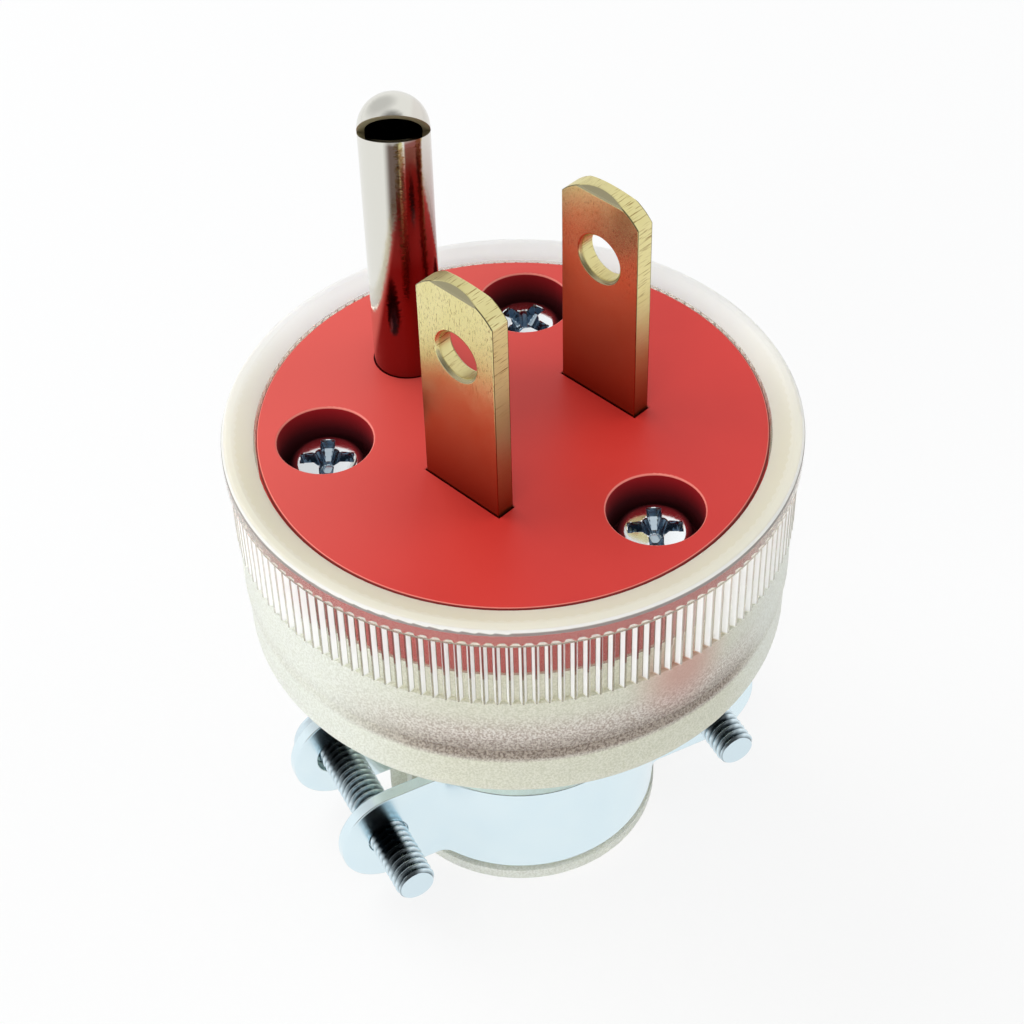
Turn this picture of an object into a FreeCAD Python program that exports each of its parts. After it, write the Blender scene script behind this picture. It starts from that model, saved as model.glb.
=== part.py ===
import FreeCAD, Part
import math
import os

# Three-pin plug with a clear shell. The red contact face is the plane z = 0, the contacts stand up
# along +Z and the cord enters from below. X runs from the left blade to the right blade, and Y
# from the blades to the ground pin. All sizes are millimetres.

V = FreeCAD.Vector
CLEAR = 0.15

# Contacts
blade_pitch = 12.7
blade_width = 6.35
blade_thick = 1.35
blade_y = -2.35
blade_shoulder = 15.1
blade_arch = 1.45
blade_bevel = 0.3
blade_bevel_rise = 0.95
blade_hole_d = 3.2
blade_hole_z = 11.3
blade_hole_chamfer = 0.2
bend_inside = 0.5
pin_y = 9.7
pin_d = 4.6
pin_foot_d = 4.2
pin_wall = 0.5
pin_top = 20.75
pin_mouth_low = 17.0
pin_mouth_high = 57.0

# Shell's outside: its greatest radius, and how far each zone lies inside that radius
shell_r = 19.0
rim_round = 0.35
rim_land = 0.35
rim_wall = 2.1
rim_rise = 0.4
rim_low = 1.0
knurl_ribs = 146
knurl_crest_in = 0.25
knurl_root_in = 0.7
knurl_land = 0.34
knurl_crest = 0.10
knurl_low = 6.6
wall_in = 0.38
crease_top = 11.0
crease_low = 12.1
crease_depth = 0.4
foot_in = 0.55
foot_low = 15.4
foot_round = 1.5
under_in = 2.1
under_low = 16.6
cone_r = 10.6
cone_z = 22.4

# Face insert
face_rim = 5.0
face_step = 1.45
face_back = 5.5
boss_in = 3.35
boss_back = 8.0
counterbore_d = 6.3
counterbore_round = 0.15
counterbore_depth = 3.4
screw_ring_in = 4.5
screw_angles = {"right": 40.0, "left": 141.0, "front": 271.0}
pin_recess = 0.3

# Terminals
terminal_out = 4.05
tab_margin = 2.8
terminal_y = 3.4
terminal_shank_d = 3.5
terminal_shank = 4.6
terminal_head_d = 5.6
terminal_head = 2.0
saddle_side = 6.4
saddle_thick = 0.8
barrier_thick = 1.5
barrier_wall = 1.2
barrier_depth = 6.5
hub_back = 5.0

# Assembly screws
screw_d = 2.5
screw_length = 13.0
screw_head_d = 5.0
screw_head = 1.9
screw_head_round = 0.6
recess_width = 1.25
recess_reach = 1.85
recess_depth = 1.1
screw_tip = 0.5

# Shell's inside, posts and neck
cavity_wall = 3.1
cavity_low = 14.6
post_r = 2.8
post_foot_r = 4.0
web_thick = 1.4
neck_r = 8.8
neck_low = 36.3
neck_bore_r = 7.2
neck_rim_r = 10.0
neck_rim = 1.1
neck_root_z = 24.6
slit_width = 1.2
slit_top = 25.4

# Cord clamp
clamp_angle = -19.1
strap_thick = 0.95
strap_height = 8.2
strap_top = 26.6
strap_gap = 7.7
strap_fillet = 1.6
ear_left = 16.6
ear_right = 17.3
clamp_screw_u = 13.05
clamp_screw_d = 2.9
clamp_screw_tip = 9.6
clamp_head_d = 5.4
clamp_head = 1.9
clamp_hole_free_d = 3.5
clamp_slot_width = 0.8
clamp_slot_depth = 0.9

# Positions that follow from the sizes above
rim_land_out = shell_r - rim_round
rim_land_in = rim_land_out - rim_land
knurl_crest_r = shell_r - knurl_crest_in
knurl_root_r = shell_r - knurl_root_in
wall_r = shell_r - wall_in
foot_r = shell_r - foot_in
under_r = shell_r - under_in
shell_bore_r = shell_r - rim_wall
cavity_r = shell_r - cavity_wall
face_r = shell_bore_r - CLEAR
face_step_r = face_r - face_step
boss_r = face_r - boss_in
screw_ring_r = face_r - screw_ring_in
terminal_x = blade_pitch / 2 + terminal_out
tab_end_r = terminal_x + tab_margin
pin_r = pin_d / 2
pin_foot_r = pin_foot_d / 2
tab_low = boss_back + blade_thick
barrier_low = tab_low + barrier_thick
saddle_low = tab_low + saddle_thick
strap_low = strap_top + strap_height
ear_corner_r = strap_height / 2 - 0.1
strap_mid_r = neck_r + CLEAR + strap_thick / 2
strap_mid_w = (strap_gap + strap_thick) / 2


def box(x0, x1, y0, y1, z0, z1):
    return Part.makeBox(x1 - x0, y1 - y0, z1 - z0, V(x0, y0, z0))


def rod(radius, z0, z1, x=0.0, y=0.0):
    return Part.makeCylinder(radius, z1 - z0, V(x, y, z0))


def turned(points):
    """Solid of revolution about Z from a closed outline of (radius, z) points."""
    outline = [V(r, 0, z) for r, z in points]
    face = Part.Face(Part.makePolygon(outline + outline[:1]))
    return face.revolve(V(0, 0, 0), V(0, 0, 1), 360)


def ring_edges(shape, radius, z):
    """The circular edges about Z that have this radius and height."""
    found = []
    for edge in shape.Edges:
        if not isinstance(edge.Curve, Part.Circle):
            continue
        centre = edge.Curve.Center
        level = abs(centre.z - z) < 1e-4
        if level and abs(edge.Curve.Radius - radius) < 1e-4 and math.hypot(centre.x, centre.y) < 1e-4:
            found.append(edge)
    return found


def upright_edges(shape, x, y):
    """The straight edges parallel to Z that pass through this place in plan."""
    found = []
    for edge in shape.Edges:
        ends = [vertex.Point for vertex in edge.Vertexes]
        if len(ends) == 2 and all(math.hypot(p.x - x, p.y - y) < 1e-4 for p in ends):
            found.append(edge)
    return found


def mirrored(shape):
    return shape.mirror(V(0, 0, 0), V(1, 0, 0))


def on_ring(angle):
    """Plan position of an assembly screw."""
    turn = math.radians(angle)
    return screw_ring_r * math.cos(turn), screw_ring_r * math.sin(turn)


def save(name, shape):
    shape.removeSplitter().exportStep("parts/" + name + ".step")


# Shell: outside


def knurl_band():
    """Straight ribs with a narrow crest and sloping flanks, and flat lands between them."""
    pitch = 2 * math.pi / knurl_ribs
    half_land = knurl_land * pitch / 2
    half_crest = knurl_crest * pitch / 2
    points = []
    for i in range(knurl_ribs):
        land = i * pitch
        crest = land + pitch / 2
        for radius, turn in ((knurl_root_r, land - half_land), (knurl_root_r, land + half_land),
                             (knurl_crest_r, crest - half_crest), (knurl_crest_r, crest + half_crest)):
            points.append(V(radius * math.cos(turn), radius * math.sin(turn), 0))
    face = Part.Face(Part.makePolygon(points + points[:1]))
    band = face.extrude(V(0, 0, knurl_low - rim_low))
    band.translate(V(0, 0, -knurl_low))
    return band


def shell_outside():
    rim = turned([
        (0, 0),
        (shell_bore_r, 0),
        (rim_land_in, rim_rise),
        (shell_r, rim_rise),
        (shell_r, -rim_low),
        (0, -rim_low),
    ])
    rim = rim.makeFillet(shell_r - rim_land_out, ring_edges(rim, shell_r, rim_rise))
    crease_mid = (crease_top + crease_low) / 2
    body = turned([
        (0, -knurl_low),
        (wall_r, -knurl_low),
        (wall_r, -crease_top),
        (wall_r - crease_depth, -crease_mid),
        (foot_r, -crease_low),
        (foot_r, -foot_low),
        (under_r, -under_low),
        (cone_r, -cone_z),
        (neck_r, -neck_root_z),
        (neck_r, -neck_low + neck_rim),
        (neck_rim_r, -neck_low + neck_rim),
        (neck_rim_r, -neck_low),
        (0, -neck_low),
    ])
    body = body.makeFillet(foot_round, ring_edges(body, foot_r, -foot_low))
    body = body.makeFillet(0.35, ring_edges(body, neck_rim_r, -neck_low))
    return rim.fuse([knurl_band(), body])


# Shell: inside


def post(angle):
    """Screw post with its web to the wall and the wider foot that carries the barrier."""
    x, y = on_ring(angle)
    column = rod(post_r, -cone_z, -face_back, x, y)
    foot = rod(post_foot_r, -cone_z, -barrier_low, x, y)
    web = box(screw_ring_r, cavity_r + 0.5, -web_thick / 2, web_thick / 2, -cone_z, -face_back)
    web.rotate(V(0, 0, 0), V(0, 0, 1), angle)
    return column.fuse([foot, web])


def shell():
    cavity = turned([
        (0, 0),
        (shell_bore_r, 0),
        (shell_bore_r, -face_rim),
        (cavity_r, -face_rim),
        (cavity_r, -cavity_low),
        (neck_bore_r + 1.0, -cone_z + 1.0),
        (neck_bore_r, -cone_z),
        (neck_bore_r, -neck_low),
        (0, -neck_low),
    ])
    posts = [post(angle) for angle in screw_angles.values()]
    cavity = cavity.cut(posts)
    body = shell_outside().cut(cavity)
    for angle in screw_angles.values():
        x, y = on_ring(angle)
        depth = counterbore_depth + screw_length + 0.5
        body = body.cut(rod(screw_d / 2 + 0.05, -depth, -face_back + 1, x, y))
    slit = box(-neck_rim_r - 1, neck_rim_r + 1, -slit_width / 2, slit_width / 2, -neck_low - 1, -slit_top)
    slit.rotate(V(0, 0, 0), V(0, 0, 1), clamp_angle)
    return body.cut(slit)


# Red face insert


def blade_slot():
    """Room for the right blade and for the inside of its bend."""
    half_t = blade_thick / 2 + CLEAR / 2
    half_w = blade_width / 2 + CLEAR
    x = blade_pitch / 2
    slot = box(x - half_t, x + half_t, blade_y - half_w, blade_y + half_w, -boss_back - 1, 1)
    relief = box(x, x + half_t + bend_inside, blade_y - half_w, blade_y + half_w,
                 -boss_back - 1, -boss_back + bend_inside + CLEAR)
    screw_room = rod(terminal_shank_d / 2 + 0.4, -boss_back - 1, -face_back + 0.8, terminal_x, blade_y)
    return slot.fuse([relief, screw_room])


def counterbore_mouth(x, y):
    """Ring that is cut away to round a counterbore's edge at the face."""
    inside = counterbore_d / 2
    outside = inside + counterbore_round
    mid = outside - counterbore_round * math.sqrt(0.5)
    edges = [
        Part.makeLine(V(0, 0, 1), V(0, 0, -counterbore_round)),
        Part.makeLine(V(0, 0, -counterbore_round), V(inside, 0, -counterbore_round)),
        Part.Arc(V(inside, 0, -counterbore_round),
                 V(mid, 0, -counterbore_round + counterbore_round * math.sqrt(0.5)), V(outside, 0, 0)).toShape(),
        Part.makeLine(V(outside, 0, 0), V(outside, 0, 1)),
        Part.makeLine(V(outside, 0, 1), V(0, 0, 1)),
    ]
    mouth = Part.Face(Part.Wire(edges)).revolve(V(0, 0, 0), V(0, 0, 1), 360)
    mouth.translate(V(x, y, 0))
    return mouth


def face_insert():
    body = turned([
        (0, 0),
        (face_r, 0),
        (face_r, -face_rim),
        (face_step_r, -face_rim),
        (face_step_r, -face_back),
        (boss_r, -face_back),
        (boss_r, -boss_back),
        (0, -boss_back),
    ])
    body = body.makeChamfer(0.15, ring_edges(body, face_r, 0))
    right_slot = blade_slot()
    cuts = [right_slot, mirrored(right_slot), rod(pin_foot_r + CLEAR / 2, -boss_back - 1, 1, 0, pin_y)]
    cuts.append(rod(pin_r + CLEAR / 2, -pin_recess, 1, 0, pin_y))
    cuts.append(rod(terminal_shank_d / 2 + 0.4, -boss_back - 1, -face_back + 0.8, 0, terminal_y))
    for angle in screw_angles.values():
        x, y = on_ring(angle)
        cuts.append(rod(counterbore_d / 2, -counterbore_depth, 1, x, y))
        cuts.append(counterbore_mouth(x, y))
        cuts.append(rod(screw_d / 2 + CLEAR, -face_back - 1, 0, x, y))
        cuts.append(rod(post_r + CLEAR, -boss_back - 1, -face_back, x, y))
        notch = box(screw_ring_r, boss_r + 1, -post_r - CLEAR, post_r + CLEAR, -boss_back - 1, -face_back)
        notch.rotate(V(0, 0, 0), V(0, 0, 1), angle)
        cuts.append(notch)
    return body.cut(cuts)


# Contacts


def blade_right():
    """Flat blade with an arched, bevelled tip, bent outwards below the insert as a terminal tab."""
    x_in = blade_pitch / 2 - blade_thick / 2
    x_out = x_in + blade_thick
    y0 = blade_y - blade_width / 2
    y1 = blade_y + blade_width / 2
    z_bend = -boss_back + bend_inside
    corners = [V(x_in, y0, blade_shoulder), V(x_in, y0, z_bend), V(x_in, y1, z_bend), V(x_in, y1, blade_shoulder)]
    sides = [Part.makeLine(corners[i], corners[i + 1]) for i in range(3)]
    crown = Part.Arc(corners[3], V(x_in, blade_y, blade_shoulder + blade_arch), corners[0]).toShape()
    leg = Part.Face(Part.Wire(sides + [crown])).extrude(V(blade_thick, 0, 0))
    leg = leg.cut([bevel(x_out, -1, y0, y1), bevel(x_in, 1, y0, y1)])
    hole = Part.makeCylinder(blade_hole_d / 2, blade_thick + 2, V(x_in - 1, blade_y, blade_hole_z), V(1, 0, 0))
    leg = leg.cut([hole, hole_rim(x_out, -1), hole_rim(x_in, 1)])
    return leg.fuse(blade_tab(x_in, x_out, y0, y1)).removeSplitter()


def bevel(x_face, inwards, y0, y1):
    """Wedge that thins the top of the arched tip from one face."""
    top = blade_shoulder + blade_arch
    low = blade_shoulder + blade_bevel_rise
    corners = [
        V(x_face, y0, low),
        V(x_face + inwards * blade_bevel, y0, top),
        V(x_face - inwards * 1.0, y0, top),
        V(x_face - inwards * 1.0, y0, low),
    ]
    face = Part.Face(Part.makePolygon(corners + corners[:1]))
    return face.extrude(V(0, y1 - y0, 0))


def hole_rim(x_face, inwards):
    """Small countersink of the blade's hole on one face."""
    r = blade_hole_d / 2
    return Part.makeCone(r + blade_hole_chamfer, r, blade_hole_chamfer,
                         V(x_face, blade_y, blade_hole_z), V(inwards, 0, 0))


def blade_tab(x_in, x_out, y0, y1):
    """Bend and tab in one strip of the blade's own thickness, with the tapped hole."""
    z_bend = -boss_back + bend_inside
    centre = V(x_out + bend_inside, y0, z_bend)
    wide = bend_inside + blade_thick
    half = math.sqrt(0.5)
    inner_mid = centre + V(-bend_inside * half, 0, -bend_inside * half)
    outer_mid = centre + V(-wide * half, 0, -wide * half)
    a = V(x_in, y0, z_bend)
    b = V(centre.x, y0, -tab_low)
    c = V(tab_end_r, y0, -tab_low)
    d = V(tab_end_r, y0, -boss_back)
    e = V(centre.x, y0, -boss_back)
    f = V(x_out, y0, z_bend)
    edges = [
        Part.Arc(a, outer_mid, b).toShape(),
        Part.makeLine(b, c),
        Part.makeLine(c, d),
        Part.makeLine(d, e),
        Part.Arc(e, inner_mid, f).toShape(),
        Part.makeLine(f, a),
    ]
    strip = Part.Face(Part.Wire(edges)).extrude(V(0, y1 - y0, 0))
    ends = upright_edges(strip, tab_end_r, y0) + upright_edges(strip, tab_end_r, y1)
    strip = strip.makeFillet(1.0, ends)
    return strip.cut(rod(terminal_shank_d / 2 + 0.05, -tab_low - 1, -boss_back + 1, terminal_x, blade_y))


def ground_pin():
    """Rolled tube with a domed end, open on one side of the dome as a slanted mouth.

    Below its shoulder the tube is drawn in to the foot, which is flared under the terminal plate."""
    dome_z = pin_top - pin_r
    inside_r = pin_r - pin_wall
    foot_inside_r = pin_foot_r - pin_wall
    tube = rod(pin_r, 0, dome_z).fuse([rod(pin_foot_r, -tab_low, 0), Part.makeSphere(pin_r, V(0, 0, dome_z))])
    hollow = rod(inside_r, pin_wall, dome_z).fuse(Part.makeSphere(inside_r, V(0, 0, dome_z)))
    hollow = hollow.fuse(rod(foot_inside_r, -tab_low - 1, dome_z))
    reach = 2 * pin_r
    low = math.radians(pin_mouth_low)
    high = math.radians(pin_mouth_high)
    corners = [
        V(0, 0, 0),
        V(reach, 0, reach * math.tan(low)),
        V(reach * math.cos(high), 0, reach * math.sin(high)),
    ]
    mouth = Part.Face(Part.makePolygon(corners + corners[:1])).extrude(V(0, 2 * reach, 0))
    mouth.translate(V(0, -reach, dome_z - 0.2))
    flare = turned([
        (foot_inside_r, -tab_low),
        (pin_foot_r, -tab_low),
        (pin_foot_r + 0.5, -tab_low - 0.5),
        (foot_inside_r, -tab_low - 0.5),
    ])
    shape = tube.fuse(flare).cut([hollow, mouth])
    shape.rotate(V(0, 0, 0), V(0, 0, 1), 225)
    shape.translate(V(0, pin_y, 0))
    return shape


def ground_terminal():
    """Plate under the insert that holds the pin's foot and carries the ground screw."""
    half = blade_width / 2
    plate = box(-half, half, terminal_y - half, pin_y, -tab_low, -boss_back)
    plate = plate.fuse(rod(half, -tab_low, -boss_back, 0, pin_y))
    return plate.cut([
        rod(pin_foot_r + CLEAR / 2, -tab_low - 1, -boss_back + 1, 0, pin_y),
        rod(terminal_shank_d / 2 + 0.05, -tab_low - 1, -boss_back + 1, 0, terminal_y),
    ])


def terminal_screw(x, y):
    """Binding-head screw driven upwards into its tab, with a straight slot."""
    head = rod(terminal_head_d / 2, -saddle_low - terminal_head, -saddle_low, x, y)
    head = head.makeFillet(0.5, [e for e in head.Edges if abs(e.BoundBox.ZMax + saddle_low + terminal_head) < 1e-4])
    shank = rod(terminal_shank_d / 2, -saddle_low - 0.5, -saddle_low + terminal_shank, x, y)
    slot = box(x - terminal_head_d, x + terminal_head_d, y - 0.4, y + 0.4,
               -saddle_low - terminal_head - 1, -saddle_low - terminal_head + 0.9)
    return head.fuse(shank).cut(slot)


def saddle(x, y):
    """Square pressure plate between a terminal screw's head and its tab."""
    half = saddle_side / 2
    plate = box(x - half, x + half, y - half, y + half, -saddle_low, -tab_low)
    corners = []
    for sx in (-half, half):
        for sy in (-half, half):
            corners += upright_edges(plate, x + sx, y + sy)
    plate = plate.makeFillet(0.6, corners)
    return plate.cut(rod(terminal_shank_d / 2 + CLEAR, -saddle_low - 1, -tab_low + 1, x, y))


def contact_barrier():
    """Inner plate that keeps the contacts in the insert, with walls between the three terminals."""
    plate = rod(boss_r, -barrier_low, -tab_low)
    hub_y = terminal_y - hub_back
    fence = rod(barrier_wall / 2 + 0.3, -barrier_low - barrier_depth, -tab_low, 0, hub_y)
    post_x, post_y = on_ring(screw_angles["right"])
    bearing = math.degrees(math.atan2(post_y - hub_y, post_x))
    span = math.hypot(post_x, post_y - hub_y) - post_foot_r - 0.4
    down = screw_ring_r + hub_y - post_foot_r - 0.4
    for turn, reach in ((bearing, span), (180 - bearing, span), (270, down)):
        wall = box(0, reach, -barrier_wall / 2, barrier_wall / 2, -barrier_low - barrier_depth, -tab_low)
        wall.rotate(V(0, 0, 0), V(0, 0, 1), turn)
        wall.translate(V(0, hub_y, 0))
        fence = fence.fuse(wall)
    half = saddle_side / 2 + 0.3
    side = box(terminal_x - half, boss_r + 1, blade_y - half, blade_y + half, -barrier_low - 1, 0)
    ground = box(-half, half, terminal_y - half, terminal_y + half, -barrier_low, 0)
    cuts = [side, mirrored(side), rod(pin_r + 0.8, -barrier_low - 1, 0, 0, pin_y)]
    plate = plate.cut(cuts + [ground]).fuse(fence)
    plate = plate.cut([
        box(-half, half, terminal_y - half, terminal_y + half, -saddle_low - 0.2, 0),
        rod(terminal_head_d / 2 + 0.3, -barrier_low - barrier_depth - 1, 0, 0, terminal_y),
    ])
    for angle in screw_angles.values():
        x, y = on_ring(angle)
        notch = box(screw_ring_r, boss_r + 1, -post_r - CLEAR, post_r + CLEAR, -barrier_low - 1, 0)
        notch.rotate(V(0, 0, 0), V(0, 0, 1), angle)
        plate = plate.cut([rod(post_r + CLEAR, -barrier_low - 1, 0, x, y), notch])
    return plate


# Assembly screws


def assembly_screw(angle):
    """Pan head with a cross recess, on a plain drawn shank."""
    x, y = on_ring(angle)
    top = -counterbore_depth + screw_head
    head = rod(screw_head_d / 2, -counterbore_depth, top, x, y)
    head = head.makeFillet(screw_head_round, [e for e in head.Edges if abs(e.BoundBox.ZMin - top) < 1e-4])
    shank = rod(screw_d / 2, -counterbore_depth - screw_length, -counterbore_depth + 0.5, x, y)
    tip = -counterbore_depth - screw_length
    shank = shank.makeChamfer(screw_tip, [e for e in shank.Edges if abs(e.BoundBox.ZMax - tip) < 1e-4])
    half = recess_width / 2
    along = box(-recess_reach, recess_reach, -half, half, top - recess_depth, top + 1)
    across = box(-half, half, -recess_reach, recess_reach, top - recess_depth, top + 1)
    recess = along.fuse(across)
    recess.rotate(V(0, 0, 0), V(0, 0, 1), 225)
    recess.translate(V(x, y, 0))
    return head.fuse(shank).cut(recess)


# Cord clamp


def strap_outline(side, reach_left, reach_right):
    """Plan outline of one edge of a half strap, from the left ear to the right ear.

    side is +1 for the edge away from the neck and -1 for the edge near it. The bend between
    ear and band is an arc that touches both, so its centre is one strap radius plus one bend
    radius from the neck's axis."""
    off = side * strap_thick / 2
    bend_w = strap_mid_w + strap_fillet
    bend_u = math.sqrt((strap_mid_r + strap_fillet) ** 2 - bend_w ** 2)
    scale = (strap_mid_r + off) / (strap_mid_r + strap_fillet)
    bend = V(bend_u, bend_w, 0)
    touch = bend * scale
    start = V(bend_u, strap_mid_w + off, 0)
    middle = (start - bend) + (touch - bend)
    middle.normalize()
    bend_mid = bend + middle * (strap_fillet - off)
    right_ear = Part.makeLine(V(reach_right, start.y, 0), start)
    right_bend = Part.Arc(start, bend_mid, touch).toShape()
    band = Part.Arc(touch, V(0, strap_mid_r + off, 0), V(-touch.x, touch.y, 0)).toShape()
    left_bend = Part.Arc(V(-touch.x, touch.y, 0), V(-bend_mid.x, bend_mid.y, 0), V(-start.x, start.y, 0)).toShape()
    left_ear = Part.makeLine(V(-start.x, start.y, 0), V(-reach_left, start.y, 0))
    return [right_ear, right_bend, band, left_bend, left_ear]


def half_strap(hole_d, reach_left, reach_right):
    """Bent steel strip on the +Y side of the neck, ears rounded, one hole in each ear."""
    outer = strap_outline(1, reach_left, reach_right)
    inner = strap_outline(-1, reach_left, reach_right)
    w_out = strap_mid_w + strap_thick / 2
    w_in = strap_mid_w - strap_thick / 2
    ends = [Part.makeLine(V(u, w_out, 0), V(u, w_in, 0)) for u in (-reach_left, reach_right)]
    strip = Part.Face(Part.Wire(Part.__sortEdges__(outer + inner + ends))).extrude(V(0, 0, strap_height))
    strip.translate(V(0, 0, -strap_low))
    depth = strap_mid_r + strap_thick + 1
    blank = box(-reach_left, reach_right, 0, depth, -strap_low, -strap_top)
    corners = [e for e in blank.Edges if abs(e.tangentAt(e.FirstParameter).y) > 0.99]
    strip = strip.common(blank.makeFillet(ear_corner_r, corners))
    middle = -(strap_top + strap_low) / 2
    holes = [Part.makeCylinder(hole_d / 2, depth, V(s * clamp_screw_u, 0, middle), V(0, 1, 0)) for s in (1, -1)]
    return strip.cut(holes)


def to_clamp(shape, turn):
    """Turn a piece drawn along X and Y onto the clamp's own direction."""
    shape.rotate(V(0, 0, 0), V(0, 0, 1), turn + clamp_angle)
    return shape


def clamp_screw(u):
    """Round-head screw through both ears, pointing to the front strap."""
    middle = -(strap_top + strap_low) / 2
    seat = strap_mid_w + strap_thick / 2
    along = V(0, -1, 0)
    head = Part.makeCylinder(clamp_head_d / 2, clamp_head, V(u, seat + clamp_head, middle), along)
    head = head.makeFillet(0.7, [e for e in head.Edges if abs(e.BoundBox.YMin - seat - clamp_head) < 1e-4])
    shank = Part.makeCylinder(clamp_screw_d / 2, seat + 0.5 + clamp_screw_tip, V(u, seat + 0.5, middle), along)
    shank = shank.makeChamfer(0.3, [e for e in shank.Edges if abs(e.BoundBox.YMax + clamp_screw_tip) < 1e-4])
    half = clamp_slot_width / 2
    slot = box(u - half, u + half, seat + clamp_head - clamp_slot_depth, seat + clamp_head + 1,
               middle - clamp_head_d, middle + clamp_head_d)
    return to_clamp(head.fuse(shank).cut(slot), 0)


os.makedirs("parts", exist_ok=True)

save("shell", shell())
save("face_insert", face_insert())
save("contact_barrier", contact_barrier())

save("blade_right", blade_right())
save("blade_left", mirrored(blade_right()))
save("ground_pin", ground_pin())
save("ground_terminal", ground_terminal())

terminals = {"right": (terminal_x, blade_y), "left": (-terminal_x, blade_y), "ground": (0, terminal_y)}
for name, (tx, ty) in terminals.items():
    save("terminal_screw_" + name, terminal_screw(tx, ty))
    save("saddle_" + name, saddle(tx, ty))

for name, ring_angle in screw_angles.items():
    save("assembly_screw_" + name, assembly_screw(ring_angle))

save("strap_front", to_clamp(half_strap(clamp_screw_d + 0.1, ear_right, ear_left), 180))
save("strap_rear", to_clamp(half_strap(clamp_hole_free_d, ear_left, ear_right), 0))
save("clamp_screw_right", clamp_screw(clamp_screw_u))
save("clamp_screw_left", clamp_screw(-clamp_screw_u))
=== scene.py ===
import math

import bmesh
import bpy
import numpy as np
from mathutils import Matrix, Vector


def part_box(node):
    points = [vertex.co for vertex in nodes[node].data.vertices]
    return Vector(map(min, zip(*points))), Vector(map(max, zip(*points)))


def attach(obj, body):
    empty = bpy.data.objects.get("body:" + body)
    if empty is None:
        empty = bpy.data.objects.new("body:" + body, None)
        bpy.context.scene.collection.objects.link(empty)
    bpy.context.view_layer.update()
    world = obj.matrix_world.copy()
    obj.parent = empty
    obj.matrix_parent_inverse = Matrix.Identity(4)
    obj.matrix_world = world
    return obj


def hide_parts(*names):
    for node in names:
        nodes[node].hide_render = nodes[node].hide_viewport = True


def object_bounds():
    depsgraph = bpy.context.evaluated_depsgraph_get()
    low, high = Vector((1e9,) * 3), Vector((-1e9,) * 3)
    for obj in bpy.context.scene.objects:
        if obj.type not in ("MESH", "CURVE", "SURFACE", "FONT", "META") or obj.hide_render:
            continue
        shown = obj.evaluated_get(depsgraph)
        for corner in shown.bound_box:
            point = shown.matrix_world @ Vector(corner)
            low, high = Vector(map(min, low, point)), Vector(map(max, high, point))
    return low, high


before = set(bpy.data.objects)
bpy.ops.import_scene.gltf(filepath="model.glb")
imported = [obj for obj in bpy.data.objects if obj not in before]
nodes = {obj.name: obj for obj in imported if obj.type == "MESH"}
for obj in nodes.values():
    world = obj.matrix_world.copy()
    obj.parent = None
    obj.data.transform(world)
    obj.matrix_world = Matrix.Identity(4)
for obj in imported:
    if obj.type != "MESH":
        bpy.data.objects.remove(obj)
cad_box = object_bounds()


# Photographer's table: a pale matt paper sweep that the plug stands on, and the view down on it from
# the front left. Felted paper has no gloss and a faint tooth. A share of its white is its own light,
# which the lens and the metal see, and the rest shows the plug's shadow.

MM = 0.001


def srgb(code):
    """Linear RGBA of an sRGB hex string: a part c is c over 12.92 when dark, and else c plus 0.055, over
    1.055, to the power 2.4."""
    parts = np.array([int(code[i:i + 2], 16) for i in (1, 3, 5)]) / 255
    linear = np.where(parts <= 0.04045, parts / 12.92, ((parts + 0.055) / 1.055) ** 2.4)
    return (*linear.tolist(), 1.0)


def add_node(tree, kind, sockets=None, **settings):
    """Adds one node with its settings. A socket takes a value, or what feeds it: another node's output, or
    a node, which stands for its first output in use."""
    node = tree.nodes.new("ShaderNode" + kind)
    for name, value in settings.items():
        setattr(node, name, value)
    for name, value in (sockets or {}).items():
        if isinstance(value, bpy.types.Node):
            value = next(output for output in value.outputs if output.enabled)
        if isinstance(value, bpy.types.NodeSocket):
            tree.links.new(value, node.inputs[name])
        else:
            node.inputs[name].default_value = value
    return node


def new_material(name):
    """Empty node material and its output node."""
    material = bpy.data.materials.new(name)
    material.use_nodes = True
    material.node_tree.nodes.clear()
    return material, material.node_tree, material.node_tree.nodes.new("ShaderNodeOutputMaterial")


def mesh_piece(name, points, faces, material):
    """Object at the origin from an array of points in metres and a list of faces."""
    mesh = bpy.data.meshes.new(name)
    mesh.from_pydata(points.tolist(), [], faces)
    mesh.materials.append(material)
    piece = bpy.data.objects.new(name, mesh)
    bpy.context.scene.collection.objects.link(piece)
    return piece


TABLE_HALF = 1.5
TABLE_GAP = 0.02 * MM
TABLE_Z = cad_box[0][2] - TABLE_GAP
PAPER_TOOTH = MM / 0.9
PAPER_GLOW = 0.82
paper, tree, out = new_material("matt_white_paper")
place = add_node(tree, "TexCoord").outputs["Object"]
sheet_grain = add_node(tree, "TexNoise", {"Vector": place, "Scale": 1 / PAPER_TOOTH, "Detail": 3.0})
sheet_bump = add_node(tree, "Bump", {"Height": sheet_grain, "Strength": 0.05, "Distance": 0.05 * MM})
sheet = add_node(tree, "BsdfPrincipled",
                 {"Normal": sheet_bump, "Base Color": srgb("#F1F1F1"), "Roughness": 0.9})
path = add_node(tree, "LightPath")
mirrored = add_node(tree, "Math",
                    {0: path.outputs["Is Glossy Ray"], 1: path.outputs["Is Transmission Ray"]},
                    operation="MAXIMUM")
seen = add_node(tree, "Math", {0: path.outputs["Is Camera Ray"], 1: mirrored}, operation="MAXIMUM")
glow = add_node(tree, "Emission", {"Color": (1.0, 1.0, 1.0, 1.0), "Strength": 1.0})
glow_share = add_node(tree, "Math", {0: seen, 1: PAPER_GLOW}, operation="MULTIPLY")
blend = add_node(tree, "MixShader", {0: glow_share, 1: sheet, 2: glow})
tree.links.new(blend.outputs[0], out.inputs["Surface"])
table_corners = np.array([(-1, -1), (1, -1), (1, 1), (-1, 1)]) * TABLE_HALF
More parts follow.
